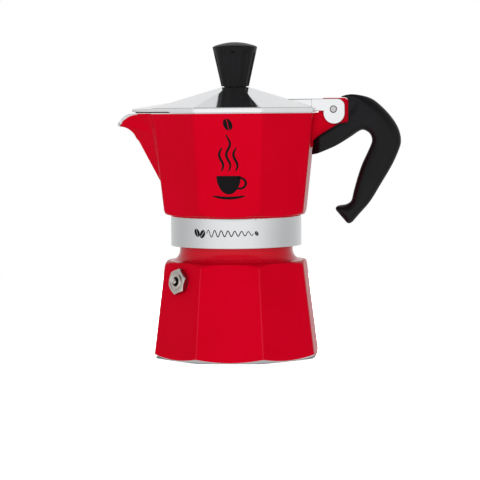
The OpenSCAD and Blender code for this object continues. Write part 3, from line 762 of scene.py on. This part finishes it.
def build_handle():
    mesh = even_mesh(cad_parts["handle"], 0.6 * MM)
    mesh.name = "handle_grip"
    mesh.materials.clear()
    mesh.materials.append(PLASTIC)
    points = np.zeros(len(mesh.vertices) * 3)
    mesh.vertices.foreach_get("co", points)
    points = points.reshape(-1, 3)
    half = handle_hi.y
    # The flanks swell from a narrow edge to the full width, as a moulded grip does, less so on the arm
    side = np.abs(points[:, 1])
    border = points[(side > 0.62 * half) & (side < 0.9 * half)]
    tree = KDTree(len(border))
    for i, point in enumerate(border):
        tree.insert((point[0], 0, point[2]), i)
    tree.balance()
    for point in points:
        if abs(point[1]) > NOSE_HALF and point[2] > NOSE_Z:
            point[0] = max(point[0], NOSE_SIDE_X)
        grip = float(np.clip((point[0] - 58 * MM - 0.4 * (point[2] - 125 * MM)) / (9 * MM), 0, 1))
        grip = max(grip, float(np.clip((106 * MM - point[2]) / (6 * MM), 0, 1)))
        edge_half = half - (1.0 + 3.2 * grip) * MM
        swell = (1.6 + 3.6 * grip) * MM
        if abs(point[1]) < edge_half:
            continue
        depth = tree.find((point[0], 0, point[2]))[2]
        share = 1 - min(depth / swell, 1)
        limit = edge_half + (half - edge_half) * math.sqrt(max(1 - share * share, 0))
        limit -= CHEEK_DEPTH * cheek_share(point[0], point[2])
        point[1] = math.copysign(min(abs(point[1]), limit), point[1])
    mesh.vertices.foreach_set("co", points.ravel())
    mesh.shade_smooth()
    piece = add_piece("handle_grip", mesh, "collector", ["handle"])
    soften = piece.modifiers.new("rounded_moulding", "SMOOTH")
    soften.factor = 0.5
    soften.iterations = 9
    piece.visible_glossy = False


# ---------------------------------------------------------------- ornaments

def flat_shape(name, strips, place, thickness=0.09 * MM):
    """Thin raised print, put on the pot by place(u, v, height).

    Each strip is two rows of (u, v) points in millimetres, side by side along the shape.
    """
    mesh = bpy.data.meshes.new(name)
    shape = bmesh.new()
    for left, right in strips:
        ring = [(u * MM, v * MM) for u, v in left + right[::-1]]
        upper = [shape.verts.new(place(u, v, thickness)) for u, v in ring]
        lower = [shape.verts.new(place(u, v, 0)) for u, v in ring]
        last = len(ring) - 1
        for i in range(len(left) - 1):
            for row in (upper, lower):
                shape.faces.new((row[i], row[i + 1], row[last - i - 1], row[last - i]))
        for i in range(len(ring)):
            shape.faces.new((upper[i - 1], upper[i], lower[i], lower[i - 1]))
    bmesh.ops.recalc_face_normals(shape, faces=shape.faces)
    shape.to_mesh(mesh)
    shape.free()
    mesh.materials.append(INK)
    return mesh


def stroke(points, width, taper=0.75):
    """Strip along a line whose width tapers at both ends."""
    points = np.array(points, dtype=float)
    along = np.gradient(points, axis=0)
    along /= np.linalg.norm(along, axis=1)[:, None]
    across = np.stack([-along[:, 1], along[:, 0]], axis=1)
    share = np.linspace(0, 1, len(points))
    half = width / 2 * (1 - taper + taper * np.sin(math.pi * share) ** 0.5)
    shift = across * half[:, None]
    return [tuple(p) for p in points + shift], [tuple(p) for p in points - shift]


def bean(cx, cy, a, b, tilt):
    """Two strips: a coffee bean cut by a curved groove."""
    c, s = math.cos(tilt), math.sin(tilt)
    halves = []
    for side in (-1, 1):
        turns = np.linspace(-math.pi / 2, math.pi / 2, 17)
        rim = [(side * a * math.cos(t), b * math.sin(t)) for t in turns]
        groove = [(side * 0.09 * a + 0.2 * a * math.sin(2 * t), b * math.sin(t) * 0.98) for t in turns]
        halves.append([[(cx + x * c - y * s, cy + x * s + y * c) for x, y in row]
                       for row in (rim, groove)])
    return halves


def build_emblem():
    """Generic cup with steam in black on the front face of the collector."""
    z0, z1 = 84 * MM, 128 * MM
    y0, y1 = -collector_apothem(z0), -collector_apothem(z1)
    up = Vector((0, y1 - y0, z1 - z0)).normalized()
    out = Vector((0, -up.z, up.y))

    def place(u, v, height):
        foot = Vector((0, -collector_apothem(83 * MM), 83 * MM))
        return foot + Vector((1.13 * u, 0, 0)) + up * 1.13 * v + out * (height + 0.01 * MM)

    drop = np.radians(np.linspace(0, 86, 18))
    bowl = [[(side * 5.6 * math.cos(t), 13.2 - 8.6 * math.sin(t)) for t in drop] for side in (-1, 1)]
    saucer = stroke([(x, 2.9 + 0.018 * x * x) for x in np.linspace(-7.4, 7.4, 17)], 1.3)
    grip = stroke([(5.0 + 2.9 * math.cos(t), 9.8 + 2.5 * math.sin(t))
                   for t in np.radians(np.linspace(105, -110, 25))], 1.1, 0.3)
    steam = [stroke([(x + 0.9 * math.sin(v * 0.62), 15.4 + v) for v in np.linspace(0, length, 30)], 1.15)
             for x, length in ((-3.3, 11), (0, 17), (3.3, 11))]
    strips = [bowl, saucer, grip, *steam, *bean(0, 37.0, 2.0, 2.9, 0.45)]
    mesh = flat_shape("cup_print", strips, place)
    add_piece("cup_print", mesh, "collector", [])


def build_band_print():
    """Coffee beans and a wave on the front of the band."""
    middle = (BAND_Z + BAND_TOP_Z) / 2

    def place(u, v, height):
        turn = u / BAND_R - math.pi / 2
        r = BAND_R + height + 0.01 * MM
        return Vector((r * math.cos(turn), r * math.sin(turn), middle + v))

    # A wave that shrinks as it runs, between two beans and one
    share = np.linspace(0, 1, 400)
    line = [(-12.6 + 25 * k, (1.9 - 0.9 * k) * math.sin(2 * math.pi * 7 * k)) for k in share]
    strips = [stroke(line, 0.5, 0.4)]
    for place_and_size in ((-18.6, 0.3, 1.5, 2.3, 0.5), (-15.2, -0.3, 1.5, 2.3, -0.4),
                           (14.2, 0, 0.9, 1.4, 0.5)):
        strips += bean(*place_and_size)
    mesh = flat_shape("bean_print", strips, place, 0.05 * MM)
    add_piece("bean_print", mesh, "collector", [])


# -------------------------------------------------------------------- valve

def place_on_valve(mesh):
    """Moves a mesh made around +Z onto the valve's axis, which points out of the wall."""
    z = VALVE_Z
    lean = math.atan((boiler_apothem(0) - boiler_apothem(SHOULDER_Z)) / SHOULDER_Z)
    turn = Matrix.Rotation(VALVE_TURN, 4, "Z")
    move = Matrix.Translation((boiler_apothem(z), 0, z))
    mesh.transform(turn @ move @ Matrix.Rotation(math.pi / 2 - lean, 4, "Y"))


def build_valve():
    angle = np.linspace(0, 2 * math.pi, 144, endpoint=False)
    flats = 6.2 * MM
    sector = math.pi / 3
    off = (angle - VALVE_HEX_TURN) % sector - sector / 2
    hexagon = flats / np.cos(off)

    def sides(z):
        """Half-width at a height in millimetres, chamfered towards the face."""
        chamfer = flats - 0.2 * MM + (HEX_FACE - z) * 1.7 * MM
        return soft_min(hexagon, np.full_like(off, chamfer), 0.25 * MM)

    # The bore rows take the near-black of painted shade inside the hole
    metal, bore, flank = 0, 1, 2
    rows = [(0, -3.7, bore), (1.7, -3.7, bore), (1.7, -5, metal), (4.8, -5, metal), (5, -4.8, metal),
            (5, 0.4, metal)]
    rows = [(r * MM, z * MM, m) for r, z, m in rows]
    rows.append((sides(0.5) - 0.2 * MM, 0.5 * MM, metal))
    rows += [(sides(z), z * MM, metal) for z in (0.65, 1.2, *np.linspace(1.6, HEX_FACE - 0.1, 14))]
    rows.append((sides(HEX_FACE - 0.1) - 0.2 * MM, HEX_FACE * MM, metal))
    seat = [(4.9, 0, metal), (4.7, -0.25, metal), (4.12, -0.3, metal), (4.1, -0.8, bore),
            (3.4, -0.8, bore)]
    rows += [(r * MM, (HEX_FACE + z) * MM, m) for r, z, m in seat]
    rows += [(3.4 * MM, -3.55 * MM, bore), (0, -3.6 * MM, bore)]
    mesh = shell_mesh("valve_hexagon", angle, rows, [NICKEL, PAINTED_BORE_SHADE, SHADED_NICKEL_FLANK])
    # The hexagon's flank faces take the darker nickel of painted shade
    for face in mesh.polygons:
        if abs(face.normal.z) < 0.2 and face.center.xy.length > 5.4 * MM:
            face.material_index = flank
    place_on_valve(mesh)
    finish_mesh(mesh, 24)
    weight_normals(add_piece("valve_hexagon", mesh, "boiler", ["valve_body"]))

    # Crimped ring: its profile is a closed loop, so it is spun as a ring of quads
    profile = [(4.08, -0.78), (4.08, 0.1)]
    profile += [(3.28 + 0.8 * math.cos(t), 0.1 + (CAP_RISE - 0.1) * math.sin(t))
                for t in np.radians(np.linspace(15, 165, 11))]
    profile += [(2.45, 0.05), (2.45, -0.78)]
    steps = 96
    shape = bmesh.new()
    rings = []
    for i in range(steps):
        turn = 2 * math.pi * i / steps
        across, up = math.cos(turn), math.sin(turn)
        rings.append([shape.verts.new((r * MM * across, r * MM * up, (HEX_FACE + z) * MM))
                      for r, z in profile])
    for i in range(steps):
        for j in range(len(profile)):
            n, k = (i + 1) % steps, (j + 1) % len(profile)
            shape.faces.new((rings[i][j], rings[n][j], rings[n][k], rings[i][k]))
    bmesh.ops.recalc_face_normals(shape, faces=shape.faces)
    mesh = bpy.data.meshes.new("valve_ring")
    shape.to_mesh(mesh)
    shape.free()
    mesh.materials.append(NICKEL)
    place_on_valve(mesh)
    finish_mesh(mesh, 50)
    add_piece("valve_ring", mesh, "boiler", ["valve_cap"])


# ------------------------------------------------------- carried-over nodes

CAD_LOOKS = {
    # The steel spring inside the valve's bore is painted near-black as shade
    "valve_piston": NICKEL, "valve_spring": PAINTED_BORE_SHADE,
    # The valve's rubber gasket is painted near-black as shade at the valve's foot
    "valve_gasket": PAINTED_SHADE_DARK, "valve_seal": RUBBER, "funnel": BARE_METAL, "funnel_screen": BARE_METAL,
    "gasket": RUBBER, "filter_plate": POLISHED, "column": BARE_METAL, "handle_screw": STEEL,
    "hinge_pin": STEEL, "knob_screw": STEEL, "knob_washer": STEEL,
}


def dress_nodes():
    """Gives each carried-over node its own material."""
    for name, material in CAD_LOOKS.items():
        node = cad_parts[name]
        node.data.materials.clear()
        node.data.materials.append(material)


# --------------------------------------------------------------- the studio

def build_studio():
    world = bpy.data.worlds.new("studio")
    bpy.context.scene.world = world
    world.use_nodes = True
    nodes, links = world.node_tree.nodes, world.node_tree.links
    background = nodes["Background"]
    place = nodes.new("ShaderNodeTexCoord")
    split = nodes.new("ShaderNodeSeparateXYZ")
    links.new(place.outputs["Generated"], split.inputs["Vector"])
    spread = nodes.new("ShaderNodeMapRange")
    spread.inputs["From Min"].default_value = -1
    spread.inputs["From Max"].default_value = 1
    links.new(split.outputs["Y"], spread.inputs["Value"])
    # From the camera's side, round the dimmer flanks, to the bright backdrop
    tones = ramp(nodes, links, spread.outputs["Result"],
                 [(0.0, grey(0.95)), (0.1, grey(0.88)), (0.35, grey(0.62)), (0.6, grey(0.5)),
                  (0.86, grey(0.62)), (1.0, grey(0.9))])
    # Above the camera the room is dark
    toward = nodes.new("ShaderNodeVectorMath")
    toward.operation = "DOT_PRODUCT"
    toward.inputs[1].default_value = (0, -0.6, 0.8)
    links.new(place.outputs["Generated"], toward.inputs[0])
    shade = nodes.new("ShaderNodeMapRange")
    shade.interpolation_type = "SMOOTHSTEP"
    for entry, value in (("From Min", 0.62), ("From Max", 0.88), ("To Min", 1.0), ("To Max", 0.25)):
        shade.inputs[entry].default_value = value
    links.new(toward.outputs["Value"], shade.inputs["Value"])
    dimmed = nodes.new("ShaderNodeVectorMath")
    dimmed.operation = "SCALE"
    links.new(tones.outputs["Color"], dimmed.inputs[0])
    links.new(shade.outputs["Result"], dimmed.inputs["Scale"])
    seen = nodes.new("ShaderNodeLightPath")
    pick = nodes.new("ShaderNodeMix")
    pick.data_type = "RGBA"
    links.new(seen.outputs["Is Camera Ray"], pick.inputs["Factor"])
    links.new(dimmed.outputs["Vector"], pick.inputs["A"])
    pick.inputs["B"].default_value = (1, 1, 1, 1)
    links.new(pick.outputs["Result"], background.inputs["Color"])

    floor_mesh = bpy.data.meshes.new("floor")
    reach, sides = 0.55, 96
    turns = [2 * math.pi * k / sides for k in range(sides)]
    floor_mesh.from_pydata([(reach * math.cos(a), reach * math.sin(a), 0) for a in turns], [],
                           [tuple(range(sides))])
    floor = bpy.data.objects.new("floor", floor_mesh)
    bpy.context.collection.objects.link(floor)
    pale = surface("pale_floor", grey(0.30), grey(0.31), (0.8, 0.9), 0.0, 60, 0.0, specular=0.0)
    glow = pale.node_tree.nodes["Principled BSDF"].inputs
    glow["Emission Color"].default_value = (1, 1, 1, 1)
    glow["Emission Strength"].default_value = 0.08
    floor_mesh.materials.append(pale)
    # The bright floor neither lights the pot nor shows in its metal
    floor.visible_diffuse = False
    floor.visible_glossy = False

    def panel(name, place, size, power):
        light = bpy.data.lights.new(name, "AREA")
        light.shape = "RECTANGLE"
        light.size, light.size_y = size
        light.energy = power
        lamp = bpy.data.objects.new(name, light)
        lamp.location = place
        aim = Vector((0, 0, 0.08)) - Vector(place)
        lamp.rotation_euler = aim.to_track_quat("-Z", "Y").to_euler()
        lamp.visible_glossy = False
        bpy.context.collection.objects.link(lamp)
        return lamp

    # The overhead lamp lights the floor alone, so that the pot stands on white
    floor_only = bpy.data.collections.new("floor_only")
    floor_only.objects.link(floor)
    panel("overhead", (0, 0.3, 1.3), (1.7, 1.4), 260).light_linking.receiver_collection = floor_only
    panel("front", (0.1, -1.7, 0.45), (0.9, 0.9), 10)


def build_camera():
    turn, roll = math.radians(5.5), math.radians(-0.42)
    distance, eye = 1.1, 0.1314
    camera = bpy.data.objects.new("camera", bpy.data.cameras.new("camera"))
    camera.location = (distance * math.sin(turn), -distance * math.cos(turn), eye)
    aim = (cad_box[0] + cad_box[1]) / 2 - camera.location
    camera.rotation_euler = aim.to_track_quat("-Z", "Y").to_euler()
    camera.rotation_euler.rotate_axis("Z", roll)
    camera.data.lens = 153.2
    camera.data.shift_x = -0.0396
    camera.data.shift_y = -0.086
    bpy.context.collection.objects.link(camera)
    bpy.context.scene.camera = camera


build_boiler()
build_collector()
build_lid()
build_knob()
build_handle()
build_emblem()
build_band_print()
build_valve()
dress_nodes()
build_studio()
build_camera()
bpy.context.scene.view_settings.view_transform = "Standard"
